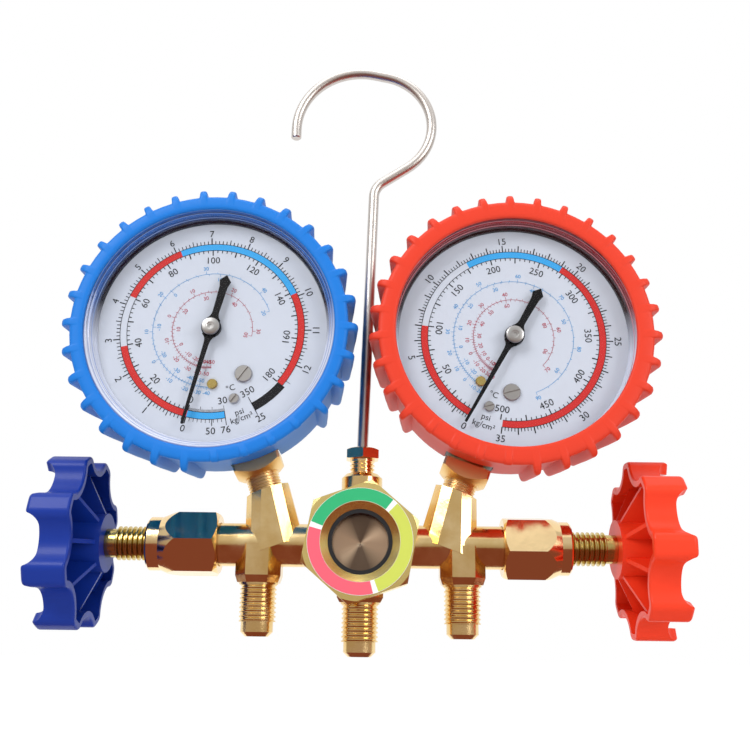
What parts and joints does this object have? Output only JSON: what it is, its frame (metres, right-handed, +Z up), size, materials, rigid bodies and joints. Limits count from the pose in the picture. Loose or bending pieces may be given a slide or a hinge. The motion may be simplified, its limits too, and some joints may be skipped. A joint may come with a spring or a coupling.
{
  "type": "refrigerant manifold gauge",
  "caption": "Brass charging manifold with low and high pressure gauges in rubber boots, hand valves, a sight glass, flare hose ports and a swivelling wire hook.",
  "frame": {"origin": "bearing point inside the top of the hook's loop, where the part hangs", "axes": "+Z up, +X to the high side as seen from the front, the dials face -Y"},
  "size_m": [0.1912, 0.0542, 0.202],
  "materials": {
    "chrome": "bright chrome plated steel wire",
    "brass": "polished and cast brass",
    "nut_brass": "bright turned brass",
    "stem_brass": "turned brass thread",
    "steel": "bright steel",
    "seat_plastic": "white fluoropolymer",
    "packing": "black packing rubber",
    "blue_wheel": "navy blue moulded plastic",
    "red_wheel": "orange red moulded plastic",
    "blue_boot": "azure moulded rubber",
    "red_boot": "orange red moulded rubber",
    "case_black": "black painted pressed steel",
    "window": "clear moulded plastic",
    "dial_print": "white painted aluminium with a printed scale",
    "black_paint": "black painted aluminium",
    "label_print": "printed label in three colours",
    "glass": "clear glass",
    "indicator": "spun bronze coloured disc",
    "tube_bronze": "phosphor bronze"
  },
  "bodies": {
    "hook": {"hook_rod": "chrome"},
    "manifold": {"manifold_body": "brass", "hook_gland_nut": "nut_brass", "sight_glass_housing": "nut_brass", "sight_glass_label": "label_print", "sight_glass_lens": "glass", "sight_glass_seal": "packing", "sight_glass_indicator": "indicator", "low_packing_nut": "nut_brass", "low_stem_packing": "packing", "low_boot": "blue_boot", "low_case": "case_black", "low_lens": "window", "low_dial": "dial_print", "low_dial_rivet": "stem_brass", "low_dial_screw": "steel", "low_adjuster": "steel", "low_hairspring": "tube_bronze", "low_movement": "stem_brass", "low_movement_screws": "steel", "low_bourdon_tube": "tube_bronze", "low_tube_tip": "stem_brass", "low_socket": "nut_brass", "high_packing_nut": "nut_brass", "high_stem_packing": "packing", "high_boot": "red_boot", "high_case": "case_black", "high_lens": "window", "high_dial": "dial_print", "high_dial_rivet": "stem_brass", "high_dial_screw": "steel", "high_adjuster": "steel", "high_hairspring": "tube_bronze", "high_movement": "stem_brass", "high_movement_screws": "steel", "high_bourdon_tube": "tube_bronze", "high_tube_tip": "stem_brass", "high_socket": "nut_brass"},
    "low_seat": {"low_seat_pad": "seat_plastic"},
    "low_stem": {"low_valve_stem": "stem_brass", "low_handwheel": "blue_wheel", "low_handwheel_screw": "steel"},
    "low_sector": {"low_sector": "stem_brass"},
    "low_pointer": {"low_pointer": "black_paint", "low_pointer_hub": "steel", "low_pinion": "stem_brass"},
    "low_link": {"low_link": "stem_brass"},
    "high_seat": {"high_seat_pad": "seat_plastic"},
    "high_stem": {"high_valve_stem": "stem_brass", "high_handwheel": "red_wheel", "high_handwheel_screw": "steel"},
    "high_sector": {"high_sector": "stem_brass"},
    "high_pointer": {"high_pointer": "black_paint", "high_pointer_hub": "steel", "high_pinion": "stem_brass"},
    "high_link": {"high_link": "stem_brass"}
  },
  "joints": [
    {"name": "hook_swivel", "type": "hinge", "parent": "hook", "child": "manifold", "pos_m": [0.00255, 0, -0.13766], "axis": [0, 0, 1], "continuous": true},
    {"name": "low_valve_travel", "type": "slide", "parent": "manifold", "child": "low_seat", "axis": [1, 0, 0], "range_m": [-0.003, 0.0015]},
    {"name": "low_valve_turn", "type": "hinge", "parent": "low_seat", "child": "low_stem", "pos_m": [-0.05745, 0, -0.16566], "axis": [1, 0, 0], "range_deg": [-720, 360]},
    {"name": "low_sector_turn", "type": "hinge", "parent": "manifold", "child": "low_sector", "pos_m": [-0.0391, 0, -0.11636], "axis": [0, 1, 0], "range_deg": [-39.44, 3.01], "stiffness_Nm_per_rad": 0.01},
    {"name": "low_pointer_turn", "type": "hinge", "parent": "manifold", "child": "low_pointer", "pos_m": [-0.04459, 0, -0.10112], "axis": [0, 1, 0], "range_deg": [-24.1, 315.5]},
    {"name": "low_link_turn", "type": "hinge", "parent": "low_sector", "child": "low_link", "pos_m": [-0.03918, 0, -0.12086], "axis": [0, 1, 0], "range_deg": [-3.01, 39.44]},
    {"name": "high_valve_travel", "type": "slide", "parent": "manifold", "child": "high_seat", "axis": [-1, 0, 0], "range_m": [-0.003, 0.0015]},
    {"name": "high_valve_turn", "type": "hinge", "parent": "high_seat", "child": "high_stem", "pos_m": [0.06255, 0, -0.16566], "axis": [-1, 0, 0], "range_deg": [-720, 360]},
    {"name": "high_sector_turn", "type": "hinge", "parent": "manifold", "child": "high_sector", "pos_m": [0.04366, 0, -0.11787], "axis": [0, 1, 0], "range_deg": [-42.44, 0], "stiffness_Nm_per_rad": 0.01},
    {"name": "high_pointer_turn", "type": "hinge", "parent": "manifold", "child": "high_pointer", "pos_m": [0.04914, 0, -0.10263], "axis": [0, 1, 0], "range_deg": [0, 339.5]},
    {"name": "high_link_turn", "type": "hinge", "parent": "high_sector", "child": "high_link", "pos_m": [0.04073, 0, -0.12128], "axis": [0, 1, 0], "range_deg": [0, 42.44]}
  ],
  "couplings": [
    {"joint": "low_valve_travel", "follows": "low_valve_turn", "m_per_rad": 0.00023873},
    {"joint": "low_pointer_turn", "follows": "low_sector_turn", "ratio": -8},
    {"joint": "low_link_turn", "follows": "low_sector_turn", "ratio": -1},
    {"joint": "high_valve_travel", "follows": "high_valve_turn", "m_per_rad": 0.00023873},
    {"joint": "high_pointer_turn", "follows": "high_sector_turn", "ratio": -8},
    {"joint": "high_link_turn", "follows": "high_sector_turn", "ratio": -1}
  ]
}
